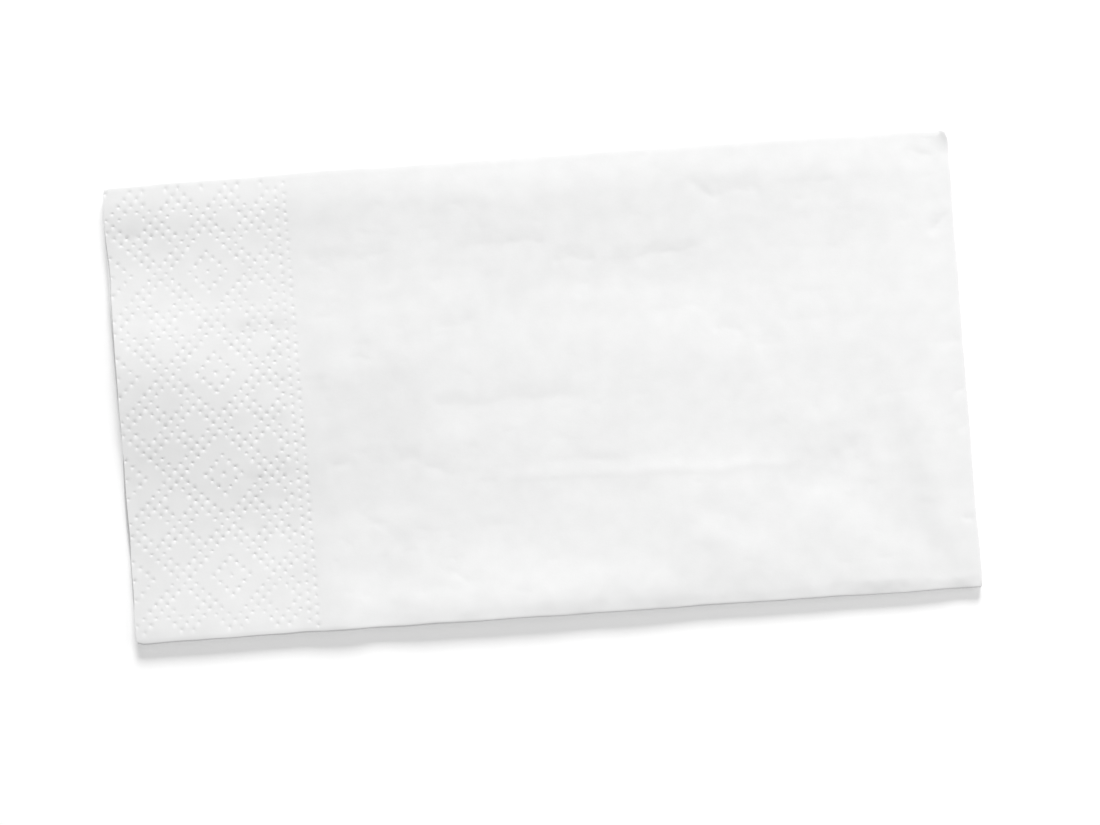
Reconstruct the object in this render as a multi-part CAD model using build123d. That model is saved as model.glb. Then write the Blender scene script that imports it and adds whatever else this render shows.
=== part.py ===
from build123d import *
from math import ceil, floor
import os

# A paper table napkin: one sheet of soft two-ply tissue.
# The sheet is folded in half end to end, and that doubled strip is folded in three like a letter,
# so the middle third lies on top, with one end flap tucked under it and the other wrapped below.
# X runs from the open end to the half fold, Y runs across, and Z runs up from the table.

# Folded sheet, in millimetres
folded_length = 200.0
folded_width = 108.0
leaf_thickness = 0.30
leaf_gap = 0.20
panel_gap = 0.30
tucked_flap_clearance = 2.0
under_flap_setback = 1.5

# Embossed points, in millimetres
point_width = 1.30
point_depth = 0.18
point_margin = 0.30

# Diamond lattice of the embossed border, in millimetres and in points
lattice_step_x = 1.427
lattice_step_y = 1.518
motif_from_open_end = 23.17
motif_above_middle = 8.79
lattice_length = 39.6
diamond_side_points = 8
ring_side_points = 4
cross_side_points = 2

# Two staggered rows of points that close the border, in millimetres
edging_from_lattice = 1.23
edging_spacing = 1.92
edging_pitch = 2.237
edging_rows = 2

# Heights of the three panels, worked out from the leaves and gaps
strip_height = 2 * leaf_thickness + leaf_gap
panel_pitch = strip_height + panel_gap
under_panel_z = strip_height / 2
tucked_panel_z = under_panel_z + panel_pitch
face_panel_z = tucked_panel_z + panel_pitch
top_z = face_panel_z + strip_height / 2

# Fold lines and flap ends, across the width
tucked_fold_y = folded_width / 2 - (face_panel_z - tucked_panel_z) / 2 - strip_height / 2
under_fold_y = -folded_width / 2 + (face_panel_z - under_panel_z) / 2 + strip_height / 2
tucked_flap_end_y = under_fold_y + tucked_flap_clearance
under_flap_end_y = folded_width / 2 - under_flap_setback

open_end_x = -folded_length / 2
half_fold_x = folded_length / 2 - strip_height / 2


def rounded_strip(height):
    """A long strip from the open end, rounded about the half fold."""
    length = half_fold_x - open_end_x
    straight = Pos((open_end_x + half_fold_x) / 2, 0) * Rectangle(length, height)
    return straight + Pos(half_fold_x, 0) * Circle(height / 2)


def doubled_leaf(y, z):
    """Section of the sheet folded in half: two leaves and the bend that joins them, facing along Y."""
    place = Plane(origin=(0, y, z), x_dir=(1, 0, 0), z_dir=(0, -1, 0))
    return place * (rounded_strip(strip_height) - rounded_strip(leaf_gap))


def panel(start_y, end_y, z):
    """One third of the folded strip, lying flat."""
    return extrude(doubled_leaf(start_y, z), amount=end_y - start_y, dir=(0, 1, 0))


def cross_fold(y, lower_z, side):
    """The bend that carries the face panel down to a flap, on the +Y side (1) or the -Y side (-1)."""
    axis = Axis((0, y, (face_panel_z + lower_z) / 2), (-side, 0, 0))
    return revolve(doubled_leaf(y, face_panel_z), axis=axis, revolution_arc=180)


def folded_sheet():
    """The plain sheet in its letter fold, as one solid."""
    face = panel(under_fold_y, tucked_fold_y, face_panel_z)
    tucked = panel(tucked_flap_end_y, tucked_fold_y, tucked_panel_z)
    under = panel(under_fold_y, under_flap_end_y, under_panel_z)
    tucked_fold = cross_fold(tucked_fold_y, tucked_panel_z, 1)
    under_fold = cross_fold(under_fold_y, under_panel_z, -1)
    return face + [tucked, under, tucked_fold, under_fold]


def diamond_place(steps):
    """The number of the diamond along one diagonal, and the place within it, from its middle."""
    diamond_steps = 2 * diamond_side_points
    number = (steps + diamond_side_points) // diamond_steps
    return number, steps - number * diamond_steps


def has_point(column, row):
    """Whether the lattice has a point here: outlined diamonds hold a ring and a cross by turns."""
    rising, rising_place = diamond_place(column + row)
    falling, falling_place = diamond_place(column - row)
    far = max(abs(rising_place), abs(falling_place))
    near = min(abs(rising_place), abs(falling_place))
    ringed = (rising + falling) % 2 == 0
    if far == 0:
        return ringed
    if (far - diamond_side_points) % 2 == 0:
        return False
    if far == diamond_side_points - 1:
        return True
    if ringed:
        return far == ring_side_points - 1
    return near == cross_side_points - 1


def steps_between(low, high, start, step):
    """The whole steps from start that land between two limits."""
    return range(ceil((low - start) / step), floor((high - start) / step) + 1)


def border_points():
    """Middle of every embossed point on the face panel."""
    rim = point_width / 2 + point_margin
    low_y = under_fold_y + rim
    high_y = tucked_fold_y - rim
    lattice_end_x = open_end_x + lattice_length
    motif_x = open_end_x + motif_from_open_end
    columns = steps_between(open_end_x + rim, lattice_end_x, motif_x, lattice_step_x)
    rows = steps_between(low_y, high_y, motif_above_middle, lattice_step_y)
    points = []
    for column in columns:
        for row in rows:
            if has_point(column, row):
                points.append((motif_x + column * lattice_step_x, motif_above_middle + row * lattice_step_y))
    for edging_row in range(edging_rows):
        x = lattice_end_x + edging_from_lattice + edging_row * edging_spacing
        start_y = motif_above_middle + edging_row * edging_pitch / 2
        for step in steps_between(low_y, high_y, start_y, edging_pitch):
            points.append((x, start_y + step * edging_pitch))
    return points


def pressed_point():
    """The tip of the embossing roll: a four-sided point that stands clear of the paper above."""
    reach = point_width / 2
    tip = (0, 0, -point_depth)
    rim = [(2 * reach, 0), (0, 2 * reach), (-2 * reach, 0), (0, -2 * reach)]
    return ConvexPolyhedron([tip] + [(x, y, point_depth) for x, y in rim])


def napkin():
    """The folded sheet with its border pressed into the face."""
    point = pressed_point()
    presses = [Pos(x, y, top_z) * point for x, y in border_points()]
    return folded_sheet() - presses


os.makedirs("parts", exist_ok=True)
export_step(napkin(), "parts/napkin.step")
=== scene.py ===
"""Looks of a folded paper napkin: one tissue sheet with its folds, creases and embossed border."""
import math
import random

import bmesh
import bpy
import numpy as np
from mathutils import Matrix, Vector, geometry, kdtree, noise


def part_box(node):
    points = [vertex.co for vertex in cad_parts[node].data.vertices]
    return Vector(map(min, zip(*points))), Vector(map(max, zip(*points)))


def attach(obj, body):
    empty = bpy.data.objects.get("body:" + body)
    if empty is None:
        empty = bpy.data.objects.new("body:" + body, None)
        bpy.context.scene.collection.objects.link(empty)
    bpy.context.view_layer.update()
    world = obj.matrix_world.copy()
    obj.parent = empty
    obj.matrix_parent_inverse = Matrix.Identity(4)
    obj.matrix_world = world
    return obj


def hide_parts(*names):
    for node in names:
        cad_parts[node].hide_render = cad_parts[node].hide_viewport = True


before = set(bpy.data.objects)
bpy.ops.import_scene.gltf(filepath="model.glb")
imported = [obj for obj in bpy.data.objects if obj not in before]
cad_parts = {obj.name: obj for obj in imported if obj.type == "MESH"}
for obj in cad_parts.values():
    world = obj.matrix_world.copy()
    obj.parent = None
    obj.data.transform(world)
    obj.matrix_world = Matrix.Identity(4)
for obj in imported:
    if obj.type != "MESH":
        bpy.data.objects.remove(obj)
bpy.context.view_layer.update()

MM = 0.001

# Folded sheet, as the solid has it
box_low, box_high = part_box("napkin")
LENGTH = box_high.x - box_low.x
WIDTH = box_high.y - box_low.y
HEIGHT = box_high.z - box_low.z
LEAF_THICKNESS = 0.30 * MM
LEAF_GAP = 0.20 * MM
TUCKED_FLAP_CLEARANCE = 2.0 * MM
UNDER_FLAP_SETBACK = 1.5 * MM

# Pressed cross folds: reach as a share of a round bend's, and how far each is drawn in at its foot
TUCKED_PINCH = 0.45
TUCKED_LEAN = 0.35 * MM
UNDER_PINCH = 0.40
UNDER_LEAN = 0.90 * MM

STRIP_HEIGHT = 2 * LEAF_THICKNESS + LEAF_GAP
PANEL_PITCH = (HEIGHT - STRIP_HEIGHT) / 2
UNDER_PANEL_Z = box_low.z + STRIP_HEIGHT / 2
TUCKED_PANEL_Z = UNDER_PANEL_Z + PANEL_PITCH
FACE_PANEL_Z = TUCKED_PANEL_Z + PANEL_PITCH
TUCKED_FOLD_RADIUS = PANEL_PITCH / 2
UNDER_FOLD_RADIUS = PANEL_PITCH
TUCKED_REACH = TUCKED_PINCH * (TUCKED_FOLD_RADIUS + STRIP_HEIGHT / 2)
UNDER_REACH = UNDER_PINCH * (UNDER_FOLD_RADIUS + STRIP_HEIGHT / 2)
TUCKED_FOLD_Y = box_high.y - math.hypot(TUCKED_REACH, TUCKED_LEAN / 2) + TUCKED_LEAN / 2
UNDER_FOLD_Y = box_low.y + math.hypot(UNDER_REACH, UNDER_LEAN / 2) - UNDER_LEAN / 2
TUCKED_FLAP_END_Y = UNDER_FOLD_Y + TUCKED_FLAP_CLEARANCE
UNDER_FLAP_END_Y = box_high.y - UNDER_FLAP_SETBACK
OPEN_END_X = box_low.x
HALF_FOLD_X = box_high.x - STRIP_HEIGHT / 2

# Embossed points: radius, depth, room to the cross folds, the first column's least distance from the
# open end, room between a point and that end, and how far the back of the leaf is pressed in
POINT_RADIUS = 0.39 * MM
POINT_DEPTH = 0.137 * MM
POINT_MARGIN = 0.15 * MM
EDGE_POINT = 0.30 * MM
EDGE_ROOM = 0.05 * MM
BACK_PRESS = 0.10 * MM

# Diamond lattice of the border and the rows that close it, as the solid has them
LATTICE_STEP_X = 1.427 * MM
LATTICE_STEP_Y = 1.518 * MM
MOTIF_FROM_OPEN_END = 23.17 * MM
MOTIF_ABOVE_MIDDLE = 8.79 * MM
LATTICE_LENGTH = 39.6 * MM
DIAMOND_SIDE_POINTS = 8
RING_SIDE_POINTS = 4
CROSS_SIDE_POINTS = 2
EDGING_FROM_LATTICE = 1.23 * MM
EDGING_SPACING = 1.92 * MM
EDGING_PITCH = 2.237 * MM
EDGING_ROWS = 2

# Share by which the border narrows towards the tucked fold, and the length whose back is pressed in
LATTICE_NARROWING = 0.012
BORDER_LENGTH = 43.8 * MM

# Pressing of the embossed points: share of the depth everywhere, its least and most
PRESS_SHARE = 0.85
PRESS_LEAST = 0.4
PRESS_MOST = 1.4

# Where the points are pressed deeper or less deep, in millimetres:
# from the open end, down from the tucked fold, reach along, reach across, share of the depth
PRESSES = (
    (25, 67, 22, 18, 0.35),
    (10, 12, 18, 7, 0.25),
    (22, 27, 28, 9, -0.20),
    (42, 18, 9, 12, -0.15),
    (43, 60, 4, 60, -0.18),
    (22, 104, 40, 12, -0.15),
)

# How much the points differ: shift, share of the size and depth, and patch size of their patterns
POINT_SHIFT = 0.10 * MM
POINT_UNEVEN = 0.45
POINT_PATCH = 0.7 * MM

# Fineness of the mesh
FACE_STEP = 1.3 * MM
FACE_ACROSS_STEP = 1.5 * MM
UNDER_STEP = 3.0 * MM
HIDDEN_STEP = 9.0 * MM
FACE_GRID = 0.80 * MM
FINE_GRID = 0.48 * MM
UNDER_GRID = 3.0 * MM
BEND_STEPS = 12

# Filling with triangles: the option that keeps those inside the outline, and how near counts as one place
TRIANGLES_INSIDE = 1
SAME_PLACE = 0.0001 * MM

# Edges bent further than this are shaded sharp
SHARP_ANGLE = math.radians(62)

# Strip of the face beside the under fold with a finer mesh, in millimetres: from and to
STRIP_ALONG = (50, 199.5)
STRIP_ACROSS = (104, 107.7)

# Plain paper with a finer mesh beside its straight ridges, creases and streaks, in millimetres:
# from and to, reach
CREASED_ALONG = (46, 199.5)
CREASED_ACROSS = (0.4, 103.5)
CREASED_REACH = 1.7

# Rings of each embossed point: share of the radius, share of the depth, number of places
FACE_RINGS = ((1.0, 0.0, 10), (0.5, 0.9, 7))
UNDER_RINGS = ((1.7, 0.0, 6), (1.0, 0.0, 6))

# Photograph's framing, in pixels of its 1100 by 825 frame
PHOTO_WIDTH = 1100
PHOTO_HEIGHT = 825
LONG_SIDE_PIXELS = 844
NAPKIN_MIDDLE_PIXELS = (542.5, 387.8)
NAPKIN_TURN = math.radians(3.96)

# Camera, light and floor
CAMERA_DISTANCE = 0.9
SENSOR_WIDTH = 36.0
KEY_DISTANCE = 3.0
KEY_SIZE = 1.0
KEY_ELEVATION = math.radians(36)
KEY_BEARING = math.radians(8)
KEY_POWER = 82.6
FILL_STRENGTH = 0.38
SIDE_PLACE = (0.42, 0.10, 0.50)
SIDE_SIZE = 0.3
SIDE_POWER = 0.60
FLOOR_SIZE = 6.0
FLOOR_DROP = 0.05 * MM
FLOOR_TONE = 0.84
FLOOR_GLOW = 0.24
FLOOR_ROUGHNESS = 1.0
FLOOR_SPECULAR = 0.0
WHITE = (1, 1, 1, 1)

# Corner offsets of the hand-folded outline, in millimetres, by end (-1 open) and side (-1 under fold)
CORNER_OFFSETS = {
    (-1, 1): (-0.3, -0.3),
    (1, 1): (-0.2, 0.1),
    (1, -1): (0.5, -0.2),
    (-1, -1): (0.4, 0.8),
}

# How far each edge stands out past its straight line, in millimetres: at one end, in the middle, at the
# other end. The long edges start at the open end, and the short ones at the tucked fold.
TUCKED_EDGE = (0.9, 1.35, 0.65)
UNDER_EDGE = (1.0, 0.5, 0.25)
OPEN_EDGE = (0.45, 0.20, 0.60)
HALF_EDGE = (0.10, 0.15, 0.20)
EDGE_REACH = 1.5 * MM

# Rounding of the corners, in millimetres, by end and side
CORNER_ROUNDING = {
    (-1, 1): 1.5,
    (1, 1): 2.6,
    (1, -1): 0.8,
    (-1, -1): 1.6,
}

# Curl of the half fold's upper corner
CURL_REACH = 5.6 * MM
CURL_RISE = 1.1 * MM

# Waves in the outline: length of a wave, how far it goes, and a number for its own pattern.
# They change by this many patches from the table up to the face, and fade inwards by this power.
OUTLINE_WAVES = (
    (16.0 * MM, 0.24 * MM, 50.5),
    (6.0 * MM, 0.14 * MM, 55.5),
)
WAVE_LEVELS = 1.6
WAVE_POWER = 8

# Bulge of the open end: place down from the tucked fold, reach along the edge, reach inwards, how far out
BULGE_PLACE = 11.5 * MM
BULGE_REACH = 5.0 * MM
BULGE_FADE = 14.0 * MM
BULGE = 0.3 * MM

# Slip of the leaves at the open end: patch size, how far, and the run over which it sets in
SLIP_LENGTH = 38.0 * MM
SLIP = 1.0 * MM
SLIP_START = 12.0 * MM

# Soft swells of the lofted paper, in millimetres:
# from the open end, down from the tucked fold, reach along, reach across, rise
SWELLS = (
    (6, 43, 35, 16, 2.20),
    (29, 39, 11, 12, -0.32),
    (10, 60, 30, 11, 0.45),
    (25, 84, 28, 13, -0.80),
    (12, 3.5, 45, 10, 0.9),
    (90, 5, 50, 9, 0.6),
    (150, 3, 28, 8, 0.25),
    (69, 31, 6, 13, 0.28),
    (94, 17, 9, 9, 0.18),
    (162, 20, 22, 6, -0.11),
    (190, 58, 9, 32, 0.6),
    (130, 31.5, 42, 9.5, -0.58),
    (58, 47.5, 11, 12, 0.26),
    (62.5, 46.5, 5.5, 7, 0.20),
    (62, 71, 6.5, 13, -0.50),
    (90, 84, 17, 9, -0.25),
    (136, 93, 30, 13, 0.62),
    (50, 93, 8, 12, 0.42),
    (66, 86.5, 5, 5.5, 0.12),
    (39, 57, 5, 9, 0.22),
    (166, 66, 6, 6, 0.12),
    (167, 77, 6, 6, -0.12),
    (12, 108, 22, 6, 0.45),
    (55, 108, 34, 8, 0.85),
    (100, 104.5, 38, 8, 0.95),
    (160, 104.5, 22, 8, 0.42),
    (180, 106, 14, 6, 0.3),
    (24, 16.5, 11, 8, 0.28),
    (27, 39, 9, 8, -0.20),
    (9, 69, 12, 7.5, -0.15),
    (6, 93, 7, 6, -0.12),
    (24, 60, 7, 6, -0.12),
    (31, 77, 9, 6, -0.15),
    (33, 104, 8, 5, -0.13),
    (36, 103, 7, 11, -0.20),
    (23, 107, 6, 5, -0.12),
    (57.5, 99, 7, 22, -0.52),
    (56, 104, 6, 9, -0.14),
    (79, 97, 6, 5.5, 0.11),
    (69, 8.5, 9, 5.5, -0.17),
    (166, 10, 14, 5.5, 0.10),
    (179, 15.5, 6, 5.5, 0.12),
    (177, 24, 8, 8, -0.06),
    (174, 45, 8, 11, 0.17),
    (147, 21.5, 8, 5, -0.07),
    (55, 51, 8, 6, 0.09),
    (138, 68, 10, 7, -0.10),
    (159, 73, 4, 5.5, 0.14),
    (113, 78.5, 10, 7.5, -0.13),
    (121, 105.5, 8, 5, 0.20),
    (147, 105, 5, 6, 0.12),
    (96, 107, 5, 5, 0.20),
    (51, 107, 4, 5, 0.18),
    (159, 106, 4, 4, 0.13),
    (142, 92.5, 5, 5, -0.10),
    (180, 83, 6, 11, 0.17),
    (77, 27, 7, 6, -0.13),
    (72, 54, 4.5, 6, 0.12),
    (105, 74, 5, 8, -0.10),
    (119, 50, 5, 10, 0.12),
    (91, 13.5, 6, 4.5, 0.08),
    (84, 73, 8, 8, -0.09),
)

# Sags of the face along the under fold, in millimetres: from the open end, reach along, fall.
# They reach this far in from the fold, and steepen towards it by this power.
SAGS = (
    (64, 3, 0.12),
    (78, 5, 0.20),
    (96, 4, 0.08),
    (105, 6, 0.22),
    (126, 6, 0.21),
    (137, 5, 0.12),
    (148, 6, 0.19),
    (158, 5, 0.16),
    (173, 8, 0.40),
    (184, 9, 0.24),
    (195, 5, 0.40),
)
SAG_REACH = 2.9
SAG_POWER = 1.4

# Straight ridges, wandering ridges, ragged creases and straight ones in the face, in millimetres:
# places along the path, reach to its left, reach to its right, rise.
# A path to the half fold has the tucked fold on its left.
LONG_RIDGE = (
    (80, 74.9),
    (103, 75.1),
    (113, 75.3),
    (119, 75.8),
    (127, 75.4),
    (134, 75.9),
    (141, 76.5),
    (144, 75.7),
    (149, 75.4),
    (154, 76.1),
    (160, 76.3),
    (170, 76.0),
)
LINES = (
    (LONG_RIDGE, 1.8, 1.0, 0.045),
    (LONG_RIDGE, 2.0, 8.0, 0.075),
    (((114, 74.8), (133, 75.4), (153, 76.4)), 6.0, 20.0, 0.18),
    (((186.5, 54), (189.5, 76), (192, 90), (196, 108)), 5.0, 5.0, 0.42),
)
RIDGES = (
    (((158, 78.5), (165, 75.5), (169, 69), (170, 61)), 11.0, 4.5, 0.18),
    (((71, 57.3), (90, 57.0), (115, 57.8)), 3.0, 8.0, -0.14),
    (((54.5, 24), (56.5, 39), (61, 44.5), (65, 51), (69, 64)), 3.0, 8.5, -0.17),
    (((46, 49.8), (52, 49), (57, 48.4)), 4.5, 2.6, 0.12),
    (((154, 82), (172, 94), (189, 104)), 5.5, 12.0, 0.38),
    (((131, 88.5), (142, 94), (154, 99)), 4.0, 5.0, 0.25),
    (((122, 84), (138, 83.5), (154, 85)), 5.0, 16.0, 0.13),
    (((92, 103.4), (103, 103), (114, 104)), 4.5, 4.0, 0.09),
    (((113, 101.5), (121, 101.5), (130, 103)), 3.5, 4.0, 0.10),
    (((42, 97.5), (52, 101), (60, 104.5)), 3.5, 2.5, 0.12),
    (((60, 100.5), (66, 102.5), (72, 104.5)), 3.0, 2.0, 0.09),
    (((66, 97), (73, 97.5), (80, 99)), 4.0, 2.0, 0.09),
    (((72, 31.8), (80, 32.4), (89, 31.8)), 5.5, 5.0, 0.22),
    (((96, 33.6), (110, 33.4), (126, 34)), 2.5, 3.5, 0.07),
    (((137, 50.5), (146, 50.8), (155, 50.5)), 3.5, 3.5, 0.10),
)
CREASES = (
    (((50, 9.5), (55, 14.5), (59, 17.5)), 2.0, 5.0, -0.07),
    (((78, 8.5), (84, 9), (87, 14), (89, 19)), 1.8, 4.0, -0.09),
    (((127.5, 1.5), (131, 5), (135, 8)), 1.2, 2.5, -0.035),
    (((160, 9.4), (167, 9), (174, 9.8)), 1.9, 6.0, -0.11),
    (((189.5, 3.2), (194, 5.0), (198.5, 6)), 1.4, 4.0, -0.14),
    (((193, 24.5), (196, 21), (200, 18.2)), 1.6, 2.2, -0.14),
    (((59, 60), (66, 68), (72, 71.5), (81, 73.2)), 2.8, 6.0, -0.14),
    (((41, 48.6), (47, 48.8), (54, 50)), 1.8, 4.0, -0.05),
    (((47, 68.6), (51, 68.8), (55, 68.4)), 1.6, 4.0, -0.11),
    (((54, 43.5), (58, 44.2), (61, 45.5)), 1.8, 3.0, -0.10),
    (((65, 86.0), (72, 86.2), (80, 86.8)), 1.8, 5.0, -0.10),
    (((80, 86.2), (86, 86), (94, 86.4)), 2.2, 4.0, -0.06),
    (((52, 77), (58, 84), (66, 92)), 2.4, 4.0, -0.11),
    (((74, 95.4), (78, 98), (83, 99)), 1.7, 2.4, -0.10),
    (((79, 66), (85, 67)), 1.3, 2.6, -0.06),
    (((100.5, 65.8), (108.5, 66.8)), 1.3, 2.6, -0.06),
    (((131, 82.8), (139, 86), (149, 89)), 2.2, 6.0, -0.08),
    (((154, 79.2), (163, 76.4), (169, 74.2), (178, 72.4)), 4.5, 9.0, -0.20),
    (((139, 43.4), (150, 43.6)), 2.2, 4.0, -0.09),
    (((150.5, 48), (158.5, 48.4)), 1.8, 2.6, -0.07),
    (((158, 34), (171, 37)), 1.3, 2.0, -0.05),
    (((124, 37), (142, 37.2)), 1.8, 2.5, -0.05),
    (((156, 43.2), (168, 42.6)), 1.3, 2.0, -0.05),
    (((191, 49.5), (199.5, 49.5)), 2.8, 3.0, -0.12),
    (((196.5, 61.5), (200, 61)), 1.1, 1.3, -0.10),
    (((196.5, 70.5), (200, 70)), 1.3, 1.3, -0.06),
    (((196.5, 91.5), (200, 91)), 1.0, 1.0, -0.10),
    (((93, 71.6), (108, 71.4), (123, 71.8)), 1.5, 2.4, -0.06),
    (((74, 37.6), (80, 37.4), (88, 37)), 2.0, 4.5, -0.08),
    (((26, 36), (36, 35.4), (45, 36)), 1.5, 3.5, -0.09),
    (((25, 49.5), (33, 48.5), (43, 48.2)), 1.7, 3.5, -0.045),
    (((29, 58), (41, 57.6)), 1.5, 3.0, -0.05),
    (((23, 71), (34, 70.4), (45, 70.8)), 1.5, 3.5, -0.10),
    (((27, 76), (43, 75.4)), 1.5, 3.0, -0.08),
    (((19, 84.5), (32, 83.4), (44, 84)), 1.6, 3.5, -0.08),
    (((0, 12), (7, 12.2), (14, 11.4)), 2.4, 4.0, -0.12),
)
STRAIGHT_CREASES = (
    (((136.6, 5.8), (145.0, 13.2)), 1.3, 3.0, -0.15),
)

# Share of a path over which each of its ends fades out
END_FADE = 0.3

# Streaks where the paper steps down, listed as the creases are. They end more abruptly.
STREAKS = (
    (((44, 19.6), (53, 19.6), (60, 19.3), (68, 18.9)), 2.8, 9.0, -0.11),
    (((81, 19.0), (92, 18.9), (105.5, 18.9)), 3.0, 9.0, -0.08),
    (((103.5, 24.2), (109, 24.3), (115, 24.6)), 3.2, 10.0, -0.13),
    (((116.5, 25.0), (124, 24.6), (133, 23.6), (142, 22.8)), 2.8, 9.0, -0.12),
    (((142.5, 11.4), (149, 10.8), (156, 10.4)), 4.5, 7.0, -0.13),
    (((72, 56.7), (81, 56.4), (91, 56.6)), 3.0, 8.0, -0.07),
    (((86, 56.6), (97, 56.4), (113, 57.4)), 3.6, 9.0, -0.06),
)
STREAK_FADE = 0.18

# Sharpness of a crease at its foot, as a power of the distance: 1 is sharp, and 2 is round
CREASE_POWER = 1.25

# How ridges and wrinkles wander, and creases wander further: patch size and how far, in millimetres
RIDGE_WANDER = (8.0, 1.0)
CREASE_WANDER = (2.6, 0.55)

# How creases vary in rise: patch size in millimetres, share, and a number for its own pattern
CREASE_VARIES = ((8.0, 0.6, 40.5), (3.0, 0.4, 41.5))

# Small wrinkles all over, in millimetres: length along, width across, rise, and a number for its own
# pattern. They are stronger in some patches than in others: patch size along and across, share.
WRINKLES = (
    (46.0, 15.0, 0.100, 3.1),
    (30.0, 5.5, 0.034, 7.7),
    (15.0, 2.4, 0.010, 12.3),
)
WRINKLE_PATCH = (34.0, 22.0)
WRINKLE_UNEVEN = 0.9

# Small sharp marks over the plain paper, in millimetres. More of them lie near the border.
MARK_COUNT = 150
MARK_SEED = 4
MARK_ALONG = (46, 197)
MARK_ACROSS = (5, 104)
MARK_CROWDING = 1.4
MARK_LENGTH = (2.0, 5.5)
MARK_SLANT = math.radians(14)
MARK_DEPTH = (0.012, 0.036)
MARK_REACH = 0.55
MARK_TAIL = 1.8

# Rows of the finer mesh along each small mark, in millimetres: step along it, and places across it
MARK_STEP = 0.5
MARK_ROWS = (-1.0, -0.5, 0.0, 0.4, 0.8, 1.3)

# Fall of the face towards the tucked fold
TUCKED_FALL_REACH = 9.0 * MM
TUCKED_FALL = 0.22 * MM

# Ridges, creases, wrinkles and marks fade from the face down through the leaves by this power
FINE_POWER = 3

# Numbers for the patterns of the other kinds of unevenness, along and across where there are two
PRESS_PATTERN = 5.5
SHIFT_PATTERNS = (6.5, 7.5)
RADIUS_PATTERNS = (8.5, 9.5)
STRENGTH_PATTERN = 0.5
WANDER_PATTERNS = (20.5, 30.5)
SLIP_PATTERN = 70.5

# Tissue: tones of the plain paper; then painted shade, which darkens them towards the open end: the share
# of them left at the open end, and where the painted shade starts and stops to fade out. It stands for the
# shade of the embossed points and the dimmer light at that end, with a little of the pressed border's
# greyer tone. Then the paper's mottling, its fibre grain and its finish
TISSUE_DARK = (0.850, 0.851, 0.851, 1)
TISSUE_LIGHT = (0.885, 0.886, 0.886, 1)
OPEN_END_PAINTED_SHADE = 0.957
PAINTED_SHADE_FADE_START = 0.0 * MM
PAINTED_SHADE_FADE_END = 80.0 * MM
MOTTLE_SCALE = 220.0
MOTTLE_DETAIL = 4.0
MOTTLE_RANGE = (0.3, 0.7)
FIBRE_SCALE = 2200.0
FIBRE_DETAIL = 3.0
FIBRE_STRENGTH = 0.25
FIBRE_DEPTH = 0.05 * MM
TISSUE_ROUGHNESS = 0.95
TISSUE_SPECULAR = 0.15


def spaced(start, end, step):
    """Even places from start to end, no more than a step apart."""
    count = max(1, math.ceil(abs(end - start) / step))
    return [float(place) for place in np.linspace(start, end, count + 1)]


def half_turn(start, end):
    """Angles strictly inside a half turn."""
    return np.radians(np.linspace(start, end, BEND_STEPS + 1))[1:-1]


def section_loop():
    """Outline of the doubled leaf, out along its outer face and back along its inner one.

    Each place is (x, offset, offset of the leaf's middle, leaf). Also returns how many of the places lie
    on the run that is uppermost on the face panel."""
    outer = STRIP_HEIGHT / 2
    inner = LEAF_GAP / 2
    middle = (outer + inner) / 2
    border_end = OPEN_END_X + BORDER_LENGTH
    loop = [(x, outer, middle, 1) for x in spaced(OPEN_END_X, HALF_FOLD_X, FACE_STEP)]
    top_count = len(loop)
    for a in half_turn(90, -90):
        loop.append((HALF_FOLD_X + outer * math.cos(a), outer * math.sin(a), middle * math.sin(a), 0))
    loop += [(x, -outer, -middle, -1) for x in spaced(HALF_FOLD_X, OPEN_END_X, HIDDEN_STEP)]
    loop += [(x, -inner, -middle, -1) for x in spaced(OPEN_END_X, HALF_FOLD_X, HIDDEN_STEP)]
    for a in half_turn(-90, 90):
        loop.append((HALF_FOLD_X + inner * math.cos(a), inner * math.sin(a), middle * math.sin(a), 0))
    for x in spaced(HALF_FOLD_X, OPEN_END_X, HIDDEN_STEP):
        pressed = BACK_PRESS if OPEN_END_X < x < border_end else 0.0
        loop.append((x, inner - pressed, middle, 1))
    return loop, top_count


def flat_run(start_y, end_y, z, up, step):
    """Stations of a flat panel: place across, height, and which way its outer face looks."""
    return [(y, z, 0.0, up) for y in spaced(start_y, end_y, step)]


def bend(y, z, radius, pinch, lean, start, end):
    """Stations of a cross fold: a pinched half turn about a line along X, drawn in towards its foot."""
    stations = []
    for a in half_turn(start, end):
        out = pinch * math.cos(a)
        drawn_in = math.copysign(lean, out) * (1 - math.sin(a)) / 2
        stations.append((y + radius * out - drawn_in, z + radius * math.sin(a), out, math.sin(a)))
    return stations


def fold_path():
    """Stations from the tucked flap's edge, over the face, to the under flap's edge.

    Also returns the station ranges of the face panel and of the under flap."""
    tucked_middle_z = (TUCKED_PANEL_Z + FACE_PANEL_Z) / 2
    under_middle_z = (UNDER_PANEL_Z + FACE_PANEL_Z) / 2
    path = flat_run(TUCKED_FLAP_END_Y, TUCKED_FOLD_Y - TUCKED_LEAN, TUCKED_PANEL_Z, -1.0, HIDDEN_STEP)
    path += bend(TUCKED_FOLD_Y, tucked_middle_z, TUCKED_FOLD_RADIUS, TUCKED_PINCH, TUCKED_LEAN, -90, 90)
    face_start = len(path)
    path += flat_run(TUCKED_FOLD_Y, UNDER_FOLD_Y, FACE_PANEL_Z, 1.0, FACE_ACROSS_STEP)
    face = (face_start, len(path) - 1)
    path += bend(UNDER_FOLD_Y, under_middle_z, UNDER_FOLD_RADIUS, UNDER_PINCH, UNDER_LEAN, 90, 270)
    under_start = len(path)
    path += flat_run(UNDER_FOLD_Y + UNDER_LEAN, UNDER_FLAP_END_Y, UNDER_PANEL_Z, -1.0, UNDER_STEP)
    under = (under_start, len(path) - 1)
    return path, face, under


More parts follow.
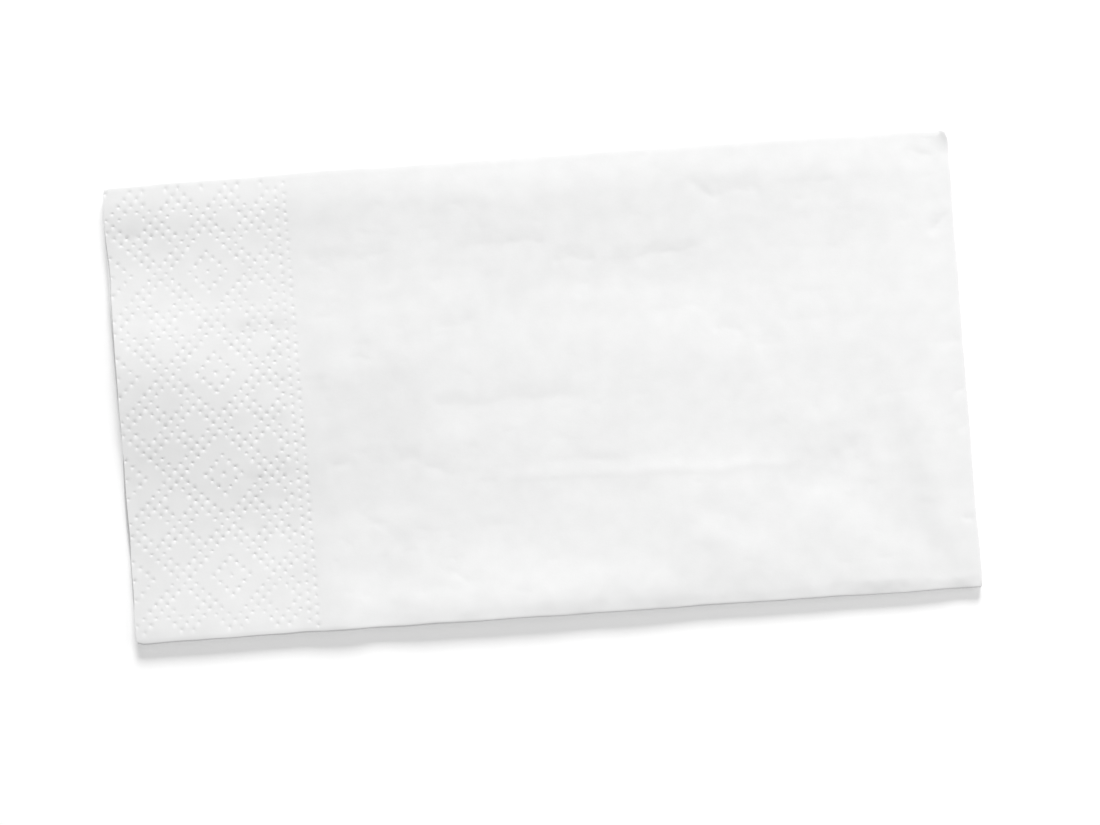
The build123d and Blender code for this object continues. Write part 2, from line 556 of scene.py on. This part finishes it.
def diamond_place(steps):
    """The number of the diamond along one diagonal, and the place within it, from its middle."""
    diamond_steps = 2 * DIAMOND_SIDE_POINTS
    number = (steps + DIAMOND_SIDE_POINTS) // diamond_steps
    return number, steps - number * diamond_steps


def has_point(column, row):
    """Whether the lattice has a point here: outlined diamonds hold a ring and a cross by turns."""
    rising, rising_place = diamond_place(column + row)
    falling, falling_place = diamond_place(column - row)
    far = max(abs(rising_place), abs(falling_place))
    near = min(abs(rising_place), abs(falling_place))
    ringed = (rising + falling) % 2 == 0
    if far == 0:
        return ringed
    if (far - DIAMOND_SIDE_POINTS) % 2 == 0:
        return False
    if far == DIAMOND_SIDE_POINTS - 1:
        return True
    if ringed:
        return far == RING_SIDE_POINTS - 1
    return near == CROSS_SIDE_POINTS - 1


def steps_between(low, high, start, step):
    """The whole steps from start that land between two limits."""
    return range(math.ceil((low - start) / step), math.floor((high - start) / step) + 1)


def narrowed(x, y):
    """A place in the border, drawn to the open end the more, the nearer it is to the tucked fold."""
    return x - LATTICE_NARROWING * (x - OPEN_END_X) * (y - box_low.y) / WIDTH, y


def border_points(low_y, high_y):
    """Middle of every embossed point between two lines across the sheet."""
    rim = POINT_RADIUS + POINT_MARGIN
    low_y = low_y + rim
    high_y = high_y - rim
    lattice_end_x = OPEN_END_X + LATTICE_LENGTH
    motif_x = OPEN_END_X + MOTIF_FROM_OPEN_END
    points = []
    for column in steps_between(OPEN_END_X + EDGE_POINT, lattice_end_x, motif_x, LATTICE_STEP_X):
        for row in steps_between(low_y, high_y, MOTIF_ABOVE_MIDDLE, LATTICE_STEP_Y):
            if has_point(column, row):
                x = motif_x + column * LATTICE_STEP_X
                points.append((x, MOTIF_ABOVE_MIDDLE + row * LATTICE_STEP_Y))
    for edging_row in range(EDGING_ROWS):
        x = lattice_end_x + EDGING_FROM_LATTICE + edging_row * EDGING_SPACING
        start_y = MOTIF_ABOVE_MIDDLE + edging_row * EDGING_PITCH / 2
        for step in steps_between(low_y, high_y, start_y, EDGING_PITCH):
            points.append((x, start_y + step * EDGING_PITCH))
    return [narrowed(x, y) for x, y in points]


def staggered_grid(low_x, high_x, low_y, high_y, step):
    """Places of an even triangular grid that keep off the edges of a rectangle."""
    row_step = step * math.sqrt(3) / 2
    places = []
    for number, y in enumerate(spaced(low_y, high_y, row_step)[1:-1]):
        shift = step / 2 * (number % 2 + 1)
        places += [(x, y) for x in np.arange(low_x + shift, high_x - step / 3, step)]
    return places


def small_marks():
    """Small sharp marks, as creases are listed: path, reach to its left, reach to its right, rise."""
    chance = random.Random(MARK_SEED)
    marks = []
    for _ in range(MARK_COUNT):
        along = MARK_ALONG[0] + (MARK_ALONG[1] - MARK_ALONG[0]) * chance.random() ** MARK_CROWDING
        across = chance.uniform(*MARK_ACROSS)
        length = chance.uniform(*MARK_LENGTH)
        slant = chance.gauss(0, MARK_SLANT)
        end = (along + length * math.cos(slant), across + length * math.sin(slant))
        marks.append((((along, across), end), MARK_REACH, MARK_TAIL, -chance.uniform(*MARK_DEPTH)))
    return tuple(marks)


def sheet_place(along, across):
    """A place on the flat sheet, from millimetres along it and across it."""
    return OPEN_END_X + along * MM, box_high.y - across * MM


def clear_of(places, others, distance):
    """The places that lie further than a distance from all the others."""
    if not others:
        return places
    tree = kdtree.KDTree(len(others))
    for number, (x, y) in enumerate(others):
        tree.insert((x, y, 0), number)
    tree.balance()
    return [(x, y) for x, y in places if tree.find((x, y, 0))[2] > distance]


def creased_places():
    """Places of the finer mesh beside the straight ridges, the creases and the streaks."""
    grid = np.array(staggered_grid(*CREASED_ALONG, *CREASED_ACROSS, FINE_GRID / MM))
    near = np.zeros(len(grid), dtype=bool)
    for path, *_ in LINES + CREASES + STREAKS:
        aside, _ = nearest_on_path(grid[:, 0], grid[:, 1], path)
        near |= np.abs(aside) < CREASED_REACH
    return [sheet_place(along, across) for along, across in grid[near]]


def fine_places():
    """Places of the finer mesh: beside creases, in the edge's strip, and in rows along the small marks."""
    low_x, high_y = sheet_place(STRIP_ALONG[0], STRIP_ACROSS[0])
    high_x, low_y = sheet_place(STRIP_ALONG[1], STRIP_ACROSS[1])
    zones = creased_places() + staggered_grid(low_x, high_x, low_y, high_y, FINE_GRID)
    rows = []
    for (start, end), *_ in small_marks():
        length = math.dist(start, end)
        way_along = (end[0] - start[0]) / length
        way_across = (end[1] - start[1]) / length
        for run in spaced(0, length, MARK_STEP):
            for row in MARK_ROWS:
                along = start[0] + run * way_along - row * way_across
                across = start[1] + run * way_across + row * way_along
                if MARK_ALONG[0] < along < MARK_ALONG[1]:
                    rows.append(sheet_place(along, across))
    return zones + clear_of(rows, zones, FINE_GRID / 2)


def point_noise(x, y, pattern):
    """A random value for one embossed point, about -1 to 1."""
    return noise.noise((x / POINT_PATCH, y / POINT_PATCH, pattern))


def soft_bumps(bumps, along, across):
    """Sum of soft bumps, each with its place, its reach both ways and its rise."""
    total = 0.0
    for bump_along, bump_across, reach_along, reach_across, rise in bumps:
        off_along = (along - bump_along) / reach_along
        off_across = (across - bump_across) / reach_across
        total = total + rise * np.exp(-off_along ** 2 - off_across ** 2)
    return total


def press_depth(x, y):
    """Depth of the embossed point at a place: the roll presses unevenly."""
    share = PRESS_SHARE + soft_bumps(PRESSES, (x - OPEN_END_X) / MM, (box_high.y - y) / MM)
    share += POINT_UNEVEN * point_noise(x, y, PRESS_PATTERN)
    return POINT_DEPTH * min(max(share, PRESS_LEAST), PRESS_MOST)


def pressed_point(x, y, rings):
    """Places of one embossed point as (x, y, drop), a little off its mark and out of round."""
    depth = press_depth(x, y)
    x = x + POINT_SHIFT * point_noise(x, y, SHIFT_PATTERNS[0])
    y = y + POINT_SHIFT * point_noise(x, y, SHIFT_PATTERNS[1])
    radius_x = POINT_RADIUS * (1 + POINT_UNEVEN * point_noise(x, y, RADIUS_PATTERNS[0]))
    radius_x = min(radius_x, x - OPEN_END_X - EDGE_ROOM)
    radius_y = POINT_RADIUS * (1 + POINT_UNEVEN * point_noise(x, y, RADIUS_PATTERNS[1]) / 2)
    places = [(x, y, depth)]
    for reach, drop, count in rings:
        for turn in np.linspace(0, 2 * math.pi, count, endpoint=False):
            off_x = reach * radius_x * math.cos(turn)
            off_y = reach * radius_y * math.sin(turn)
            places.append((x + off_x, y + off_y, drop * depth))
    return places


def filled(places, rim_count):
    """Triangles over flat places, inside the outline that the first of them make."""
    edges = [(number, (number + 1) % rim_count) for number in range(rim_count)]
    made = geometry.delaunay_2d_cdt(places, edges, [], TRIANGLES_INSIDE, SAME_PLACE)
    _, _, faces, origins, *_ = made
    return [tuple(origins[corner][0] for corner in face) for face in faces]


def embossed_patch(rim, points, grid_step, fine, rings):
    """Fills a flat panel with triangles, finer at the fine places and round each embossed point.

    rim is the panel's edge in order. Returns the added places as (x, y, drop), and triangles whose
    numbers count the rim first."""
    xs = [x for x, y in rim]
    ys = [y for x, y in rim]
    grid = staggered_grid(min(xs), max(xs), min(ys), max(ys), grid_step)
    grid = fine + clear_of(grid, fine, grid_step / 2)
    added = [(x, y, 0.0) for x, y in clear_of(grid, points, POINT_RADIUS + grid_step / 3)]
    for x, y in points:
        added += pressed_point(x, y, rings)
    places = [Vector(place) for place in rim] + [Vector((x, y)) for x, y, _ in added]
    return added, filled(places, len(rim))


class Sheet:
    """Places and faces of the folded sheet while it is put together, before it is shaped.

    Beside each place it keeps the height of its leaf's middle, the leaf's side of the doubled sheet,
    and how far along the fold path it lies."""

    def __init__(self):
        self.places = []
        self.middles = []
        self.leaves = []
        self.travel = []
        self.faces = []
        self.face_travel = (0.0, 0.0)

    def add(self, place, middle, leaf, travel):
        """Adds a place and returns its number."""
        self.places.append(place)
        self.middles.append(middle)
        self.leaves.append(leaf)
        self.travel.append(travel)
        return len(self.places) - 1


def patch_panel(sheet, numbers, stations, path, travel, top_count, z, up, grid_step, fine, rings):
    """Covers the outer face of one flat panel with its embossed patch."""
    first, last = stations
    rim = [numbers[first][m] for m in range(top_count)]
    rim += [numbers[k][top_count - 1] for k in range(first + 1, last + 1)]
    rim += [numbers[last][m] for m in range(top_count - 2, -1, -1)]
    rim += [numbers[k][0] for k in range(last - 1, first, -1)]
    corners = [sheet.places[number][:2] for number in rim]
    low_y = min(y for x, y in corners)
    high_y = max(y for x, y in corners)
    added, triangles = embossed_patch(corners, border_points(low_y, high_y), grid_step, fine, rings)
    stations_y = [path[k][0] for k in range(first, last + 1)]
    order = np.argsort(stations_y)
    travels = np.interp(
        [y for x, y, drop in added],
        np.array(stations_y)[order],
        np.array(travel[first:last + 1])[order],
    )
    middle = z - up * LEAF_THICKNESS / 2
    index = list(rim)
    for (x, y, drop), travelled in zip(added, travels):
        index.append(sheet.add((x, y, z - up * drop), middle, 1, travelled))
    sheet.faces += [tuple(index[corner] for corner in triangle) for triangle in triangles]


def folded_sheet():
    """The flat-lying folded sheet as places and faces, closed all round."""
    loop, top_count = section_loop()
    path, face, under = fold_path()
    lengths = [math.dist(path[k][:2], path[k + 1][:2]) for k in range(len(path) - 1)]
    travel = [0.0] + [float(length) for length in np.cumsum(lengths)]
    sheet = Sheet()
    sheet.face_travel = (travel[face[0]], travel[face[1]])
    numbers = []
    for (y, z, normal_y, normal_z), travelled in zip(path, travel):
        ring = []
        for x, offset, middle, leaf in loop:
            place = (x, y + offset * normal_y, z + offset * normal_z)
            ring.append(sheet.add(place, z + middle * normal_z, leaf, travelled))
        numbers.append(ring)
    for k, (ring, next_ring) in enumerate(zip(numbers, numbers[1:])):
        patched = face[0] <= k < face[1] or under[0] <= k < under[1]
        for m in range(len(loop)):
            if patched and m < top_count - 1:
                continue
            after = (m + 1) % len(loop)
            sheet.faces.append((ring[m], ring[after], next_ring[after], next_ring[m]))
    end_wall = filled([Vector((x, offset)) for x, offset, *_ in loop], len(loop))
    for ring in (numbers[0], numbers[-1]):
        sheet.faces += [tuple(ring[corner] for corner in triangle) for triangle in end_wall]
    face_top = FACE_PANEL_Z + STRIP_HEIGHT / 2
    under_low = UNDER_PANEL_Z - STRIP_HEIGHT / 2
    patch_panel(
        sheet, numbers, face, path, travel, top_count, face_top, 1, FACE_GRID, fine_places(), FACE_RINGS,
    )
    patch_panel(
        sheet, numbers, under, path, travel, top_count, under_low, -1, UNDER_GRID, [], UNDER_RINGS,
    )
    return sheet


def smooth_step(values):
    """0 below 0, 1 above 1, and smooth between."""
    share = np.clip(values, 0, 1)
    return share * share * (3 - 2 * share)


def soft_noise(along, across, pattern):
    """Smooth random values, about -1 to 1, at pairs of places counted in patch sizes."""
    return np.array([noise.noise((a, b, pattern)) for a, b in zip(along, across)])


def wrinkle_rise(along, across):
    """Height of the small wrinkles, in millimetres, stronger in some patches than in others."""
    patch_along, patch_across = WRINKLE_PATCH
    patches = soft_noise(along / patch_along, across / patch_across, STRENGTH_PATTERN)
    strength = 1 + WRINKLE_UNEVEN * patches
    rise = np.zeros(len(along))
    for length, width, height, pattern in WRINKLES:
        rise += height * soft_noise(along / length, across / width, pattern)
    return rise * strength


def nearest_on_path(along, across, path):
    """How far each place lies to the left of a path, and how far along the path that is, from 0 to 1."""
    lengths = [math.dist(first, last) for first, last in zip(path, path[1:])]
    nearest = np.full(len(along), np.inf)
    aside = np.zeros(len(along))
    share = np.zeros(len(along))
    passed = 0.0
    for (first, last), length in zip(zip(path, path[1:]), lengths):
        way_along = (last[0] - first[0]) / length
        way_across = (last[1] - first[1]) / length
        off_along = along - first[0]
        off_across = across - first[1]
        reached = np.clip(off_along * way_along + off_across * way_across, 0, length)
        left = off_along * way_across - off_across * way_along
        distance = np.hypot(off_along - reached * way_along, off_across - reached * way_across)
        closer = distance < nearest
        nearest = np.where(closer, distance, nearest)
        aside = np.where(closer, np.copysign(distance, left), aside)
        share = np.where(closer, (passed + reached) / sum(lengths), share)
        passed += length
    return aside, share


def wandered(along, across, patch, wander):
    """Places moved a little at random, so that straight creases and wrinkles turn ragged."""
    along_noise = soft_noise(along / patch, across / patch, WANDER_PATTERNS[0])
    across_noise = soft_noise(along / patch, across / patch, WANDER_PATTERNS[1])
    return along + wander * along_noise, across + wander * across_noise


def rounded(distance):
    """Profile of a ridge, round at the top."""
    return np.exp(-distance ** 2)


def sharpened(distance):
    """Profile of a crease, sharp at the foot."""
    return np.exp(-distance ** CREASE_POWER)


def ramped(distance):
    """Profile of a streak, an even slope down to a sharp foot."""
    return np.clip(1 - distance, 0, 1)


def path_rise(paths, along, across, profile, end_fade):
    """Height of ridges, creases or streaks, in millimetres. Each fades out towards its ends."""
    rise = np.zeros(len(along))
    for path, left_reach, right_reach, height in paths:
        aside, share = nearest_on_path(along, across, path)
        reach = np.where(aside > 0, left_reach, right_reach)
        fade = smooth_step(np.minimum(share, 1 - share) / end_fade)
        rise += height * fade * profile(np.abs(aside / reach))
    return rise


def crease_rise(along, across):
    """Height of the creases and streaks, in millimetres, uneven from patch to patch."""
    uneven = np.ones(len(along))
    for patch, share, pattern in CREASE_VARIES:
        uneven += share * soft_noise(along / patch, across / patch, pattern)
    creases = path_rise(CREASES, along, across, sharpened, END_FADE)
    streaks = path_rise(STREAKS, along, across, ramped, STREAK_FADE)
    return (creases + streaks) * uneven


def edge_fall(distance, reach, depth):
    """Fall of the face that steepens towards an edge."""
    share = np.clip(1 - distance / reach, 0, 1)
    return -depth * share ** 2


def sag_rise(along, across):
    """Height of the sags along the under fold, in millimetres, below 0."""
    depth = np.zeros(len(along))
    for sag_along, reach, fall in SAGS:
        depth += fall * np.exp(-((along - sag_along) / reach) ** 2)
    from_edge = WIDTH / MM - across
    return -depth * np.clip(1 - from_edge / SAG_REACH, 0, 1) ** SAG_POWER


def bowed(share, edge):
    """A smooth line through the three offsets of an edge, in metres. share runs along it from -1 to 1."""
    start, middle, end = edge
    offset = middle + share * (end - start) / 2 + share ** 2 * ((start + end) / 2 - middle)
    return offset * MM


def corner_shifts(x, y):
    """Moves of the outline that skew the sheet a little and round its corners."""
    shift_x = np.zeros(len(x))
    shift_y = np.zeros(len(x))
    for (end, side), (offset_x, offset_y) in CORNER_OFFSETS.items():
        weight = (1 + end * x / (LENGTH / 2)) * (1 + side * y / (WIDTH / 2)) / 4
        shift_x += weight * offset_x * MM
        shift_y += weight * offset_y * MM
    for (end, side), rounding in CORNER_ROUNDING.items():
        radius = rounding * MM
        near_end = np.clip(1 - (LENGTH / 2 - end * x) / radius, 0, 1)
        near_side = np.clip(1 - (WIDTH / 2 - side * y) / radius, 0, 1)
        shift_x -= end * radius * near_end * (1 - np.sqrt(1 - near_side ** 2 / 2))
        shift_y -= side * radius * near_side * (1 - np.sqrt(1 - near_end ** 2 / 2))
    return shift_x, shift_y


def outline_shifts(x, y, level):
    """Bows and small waves of the four edges, and the bulge of the open end."""
    end_share = 2 * x / LENGTH
    side_share = 2 * y / WIDTH
    near_end = np.exp((np.abs(x) - LENGTH / 2) / EDGE_REACH)
    near_side = np.exp((np.abs(y) - WIDTH / 2) / EDGE_REACH)
    shift_x = near_end * np.where(x > 0, bowed(-side_share, HALF_EDGE), -bowed(-side_share, OPEN_EDGE))
    shift_y = near_side * np.where(y > 0, bowed(end_share, TUCKED_EDGE), -bowed(end_share, UNDER_EDGE))
    for wave, how_far, pattern in OUTLINE_WAVES:
        end_wave = soft_noise(y / wave, np.sign(x) * WAVE_LEVELS * level, pattern)
        side_wave = soft_noise(x / wave, np.sign(y) * WAVE_LEVELS * level, pattern)
        shift_x += how_far * end_share ** WAVE_POWER * end_wave
        shift_y += how_far * side_share ** WAVE_POWER * side_wave
    off_bulge = (box_high.y - y - BULGE_PLACE) / BULGE_REACH
    inwards = smooth_step(1 - (x - OPEN_END_X) / BULGE_FADE)
    shift_x -= BULGE * inwards * np.exp(-off_bulge ** 2)
    return shift_x, shift_y


def leaf_slip(sheet, x):
    """How far each hidden leaf slips along X. The leaf in view stays, and so does the half fold."""
    leaves = np.array(sheet.leaves)
    travel = np.array(sheet.travel)
    face_start, face_end = sheet.face_travel
    outside = np.maximum(face_start - travel, travel - face_end)
    free = np.where(leaves == 1, smooth_step(outside / SLIP_START), 1.0)
    open_share = np.clip((HALF_FOLD_X - x) / (HALF_FOLD_X - OPEN_END_X), 0, 1)
    return SLIP * free * open_share ** 2 * soft_noise(travel / SLIP_LENGTH, leaves, SLIP_PATTERN)


def shaped(sheet):
    """Places of the sheet with its hand-folded outline, loft, falls, creases and wrinkles."""
    x, y, z = np.array(sheet.places).T
    lowest = box_low.z + LEAF_THICKNESS / 2
    level = (np.array(sheet.middles) - lowest) / (HEIGHT - LEAF_THICKNESS)
    along = (x - OPEN_END_X) / MM
    across = (box_high.y - y) / MM
    loft = soft_bumps(SWELLS, along, across) * MM
    loft += edge_fall(box_high.y - y, TUCKED_FALL_REACH, TUCKED_FALL)
    curl = np.clip(1 - np.hypot(box_high.x - x, box_high.y - y) / CURL_REACH, 0, 1)
    loft += CURL_RISE * curl ** 2
    soft = wandered(along, across, *RIDGE_WANDER)
    ragged = wandered(*soft, *CREASE_WANDER)
    fine = path_rise(LINES, along, across, rounded, END_FADE)
    fine += path_rise(STRAIGHT_CREASES + small_marks(), along, across, sharpened, END_FADE)
    fine += path_rise(RIDGES, *soft, rounded, END_FADE) + wrinkle_rise(*soft)
    fine += crease_rise(*ragged) + sag_rise(*ragged)
    corner_x, corner_y = corner_shifts(x, y)
    outline_x, outline_y = outline_shifts(x, y, level)
    new_x = x + corner_x + outline_x + leaf_slip(sheet, x)
    new_y = y + corner_y + outline_y
    new_z = z + level * loft + level ** FINE_POWER * fine * MM
    return np.column_stack((new_x, new_y, new_z))


def napkin_object():
    """The napkin as one closed mesh."""
    sheet = folded_sheet()
    mesh = bpy.data.meshes.new("napkin_sheet")
    mesh.from_pydata(shaped(sheet).tolist(), [], sheet.faces)
    work = bmesh.new()
    work.from_mesh(mesh)
    loose = [vertex for vertex in work.verts if not vertex.link_faces]
    bmesh.ops.delete(work, geom=loose, context="VERTS")
    bmesh.ops.recalc_face_normals(work, faces=work.faces)
    work.to_mesh(mesh)
    work.free()
    mesh.shade_smooth()
    mesh.set_sharp_from_angle(angle=SHARP_ANGLE)
    napkin = bpy.data.objects.new("napkin_sheet", mesh)
    bpy.context.scene.collection.objects.link(napkin)
    return napkin


def noise_node(material, place, scale, detail):
    """A noise texture in the sheet's own coordinates."""
    texture = material.node_tree.nodes.new("ShaderNodeTexNoise")
    texture.inputs["Scale"].default_value = scale
    texture.inputs["Detail"].default_value = detail
    material.node_tree.links.new(place.outputs["Object"], texture.inputs["Vector"])
    return texture


def tissue_material():
    """Soft white tissue: matte, faintly mottled, with painted shade darkening it towards the open end, and
    a fine fibre grain.
    """
    material = bpy.data.materials.new("tissue")
    material.use_nodes = True
    nodes = material.node_tree.nodes
    links = material.node_tree.links
    shader = nodes["Principled BSDF"]
    shader.inputs["Roughness"].default_value = TISSUE_ROUGHNESS
    shader.inputs["Specular IOR Level"].default_value = TISSUE_SPECULAR
    place = nodes.new("ShaderNodeTexCoord")
    mottle = noise_node(material, place, MOTTLE_SCALE, MOTTLE_DETAIL)
    tones = nodes.new("ShaderNodeValToRGB")
    tones.color_ramp.elements[0].position = MOTTLE_RANGE[0]
    tones.color_ramp.elements[0].color = TISSUE_DARK
    tones.color_ramp.elements[1].position = MOTTLE_RANGE[1]
    tones.color_ramp.elements[1].color = TISSUE_LIGHT
    links.new(mottle.outputs["Fac"], tones.inputs["Fac"])
    parts = nodes.new("ShaderNodeSeparateXYZ")
    links.new(place.outputs["Object"], parts.inputs["Vector"])
    # Painted shade: the tones darken towards the open end, for the embossed points' shade and the dimmer
    # light there
    painted_shade = nodes.new("ShaderNodeMapRange")
    painted_shade.inputs["From Min"].default_value = OPEN_END_X + PAINTED_SHADE_FADE_START
    painted_shade.inputs["From Max"].default_value = OPEN_END_X + PAINTED_SHADE_FADE_END
    painted_shade.inputs["To Min"].default_value = OPEN_END_PAINTED_SHADE
    links.new(parts.outputs["X"], painted_shade.inputs["Value"])
    shaded_tones = nodes.new("ShaderNodeVectorMath")
    shaded_tones.operation = "SCALE"
    links.new(tones.outputs["Color"], shaded_tones.inputs["Vector"])
    links.new(painted_shade.outputs["Result"], shaded_tones.inputs["Scale"])
    links.new(shaded_tones.outputs["Vector"], shader.inputs["Base Color"])
    fibre = noise_node(material, place, FIBRE_SCALE, FIBRE_DETAIL)
    bump = nodes.new("ShaderNodeBump")
    bump.inputs["Strength"].default_value = FIBRE_STRENGTH
    bump.inputs["Distance"].default_value = FIBRE_DEPTH
    links.new(fibre.outputs["Fac"], bump.inputs["Height"])
    links.new(bump.outputs["Normal"], shader.inputs["Normal"])
    return material


def floor_object():
    """A plain pale floor under the napkin."""
    half = FLOOR_SIZE / 2
    z = box_low.z - FLOOR_DROP
    mesh = bpy.data.meshes.new("floor")
    corners = [(-half, -half, z), (half, -half, z), (half, half, z), (-half, half, z)]
    mesh.from_pydata(corners, [], [(0, 1, 2, 3)])
    floor = bpy.data.objects.new("floor", mesh)
    bpy.context.scene.collection.objects.link(floor)
    material = bpy.data.materials.new("floor")
    material.use_nodes = True
    shader = material.node_tree.nodes["Principled BSDF"]
    shader.inputs["Base Color"].default_value = (FLOOR_TONE, FLOOR_TONE, FLOOR_TONE, 1)
    shader.inputs["Roughness"].default_value = FLOOR_ROUGHNESS
    shader.inputs["Specular IOR Level"].default_value = FLOOR_SPECULAR
    shader.inputs["Emission Color"].default_value = WHITE
    shader.inputs["Emission Strength"].default_value = FLOOR_GLOW
    mesh.materials.append(material)


def camera_object():
    """A camera straight above, turned and shifted so that the napkin lies as in the photograph."""
    pixel = LENGTH / LONG_SIDE_PIXELS
    right = Vector((math.cos(NAPKIN_TURN), -math.sin(NAPKIN_TURN), 0))
    up = Vector((math.sin(NAPKIN_TURN), math.cos(NAPKIN_TURN), 0))
    aside = (PHOTO_WIDTH / 2 - NAPKIN_MIDDLE_PIXELS[0]) * pixel
    above = (NAPKIN_MIDDLE_PIXELS[1] - PHOTO_HEIGHT / 2) * pixel
    data = bpy.data.cameras.new("camera")
    data.sensor_width = SENSOR_WIDTH
    data.lens = SENSOR_WIDTH * CAMERA_DISTANCE / (PHOTO_WIDTH * pixel)
    camera = bpy.data.objects.new("camera", data)
    camera.location = right * aside + up * above + Vector((0, 0, box_high.z + CAMERA_DISTANCE))
    camera.rotation_euler = (0, 0, -NAPKIN_TURN)
    bpy.context.scene.collection.objects.link(camera)
    bpy.context.scene.camera = camera


def area_light(name, place, size, power):
    """A square soft light that looks at the napkin."""
    data = bpy.data.lights.new(name, "AREA")
    data.size = size
    data.energy = power
    light = bpy.data.objects.new(name, data)
    light.location = place
    light.rotation_euler = place.to_track_quat("Z", "Y").to_euler()
    bpy.context.scene.collection.objects.link(light)


def lights():
    """A soft key light from beyond the tucked fold, a weak one beside the half fold, and an even fill."""
    way = Vector((
        math.sin(KEY_BEARING) * math.cos(KEY_ELEVATION),
        math.cos(KEY_BEARING) * math.cos(KEY_ELEVATION),
        math.sin(KEY_ELEVATION),
    ))
    area_light("key", way * KEY_DISTANCE, KEY_SIZE, KEY_POWER)
    area_light("side", Vector(SIDE_PLACE), SIDE_SIZE, SIDE_POWER)
    world = bpy.data.worlds.new("fill")
    world.use_nodes = True
    world.node_tree.nodes["Background"].inputs["Color"].default_value = WHITE
    world.node_tree.nodes["Background"].inputs["Strength"].default_value = FILL_STRENGTH
    bpy.context.scene.world = world


napkin = napkin_object()
napkin.data.materials.append(tissue_material())
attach(napkin, "root")
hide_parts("napkin")
floor_object()
camera_object()
lights()
bpy.context.scene.view_settings.view_transform = "Standard"
